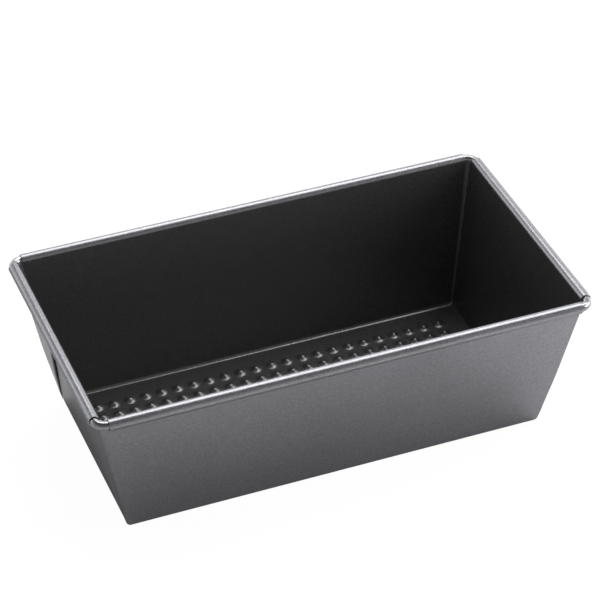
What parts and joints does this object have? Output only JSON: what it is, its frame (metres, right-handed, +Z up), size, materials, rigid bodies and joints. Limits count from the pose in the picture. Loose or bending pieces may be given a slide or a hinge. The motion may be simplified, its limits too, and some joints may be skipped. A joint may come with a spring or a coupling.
{
  "type": "loaf pan",
  "caption": "Straight-sided non-stick loaf pan in folded sheet, with corner gussets, a wired and curled rim and a floor embossed with small bumps.",
  "frame": {"origin": "centre of the pan's underside, on the surface that it stands on", "axes": "+X along the pan, +Y across it, +Z up out of its mouth"},
  "size_m": [0.25, 0.1412, 0.0806],
  "materials": {
    "nonstick_sheet": "satin metallic-grey non-stick coating with a fine speckle, on sheet steel",
    "steel_wire": "drawn steel wire, coated with the sheet"
  },
  "bodies": {
    "root": {"pan_body": "nonstick_sheet", "rim_wire": "steel_wire"}
  },
  "joints": []
}
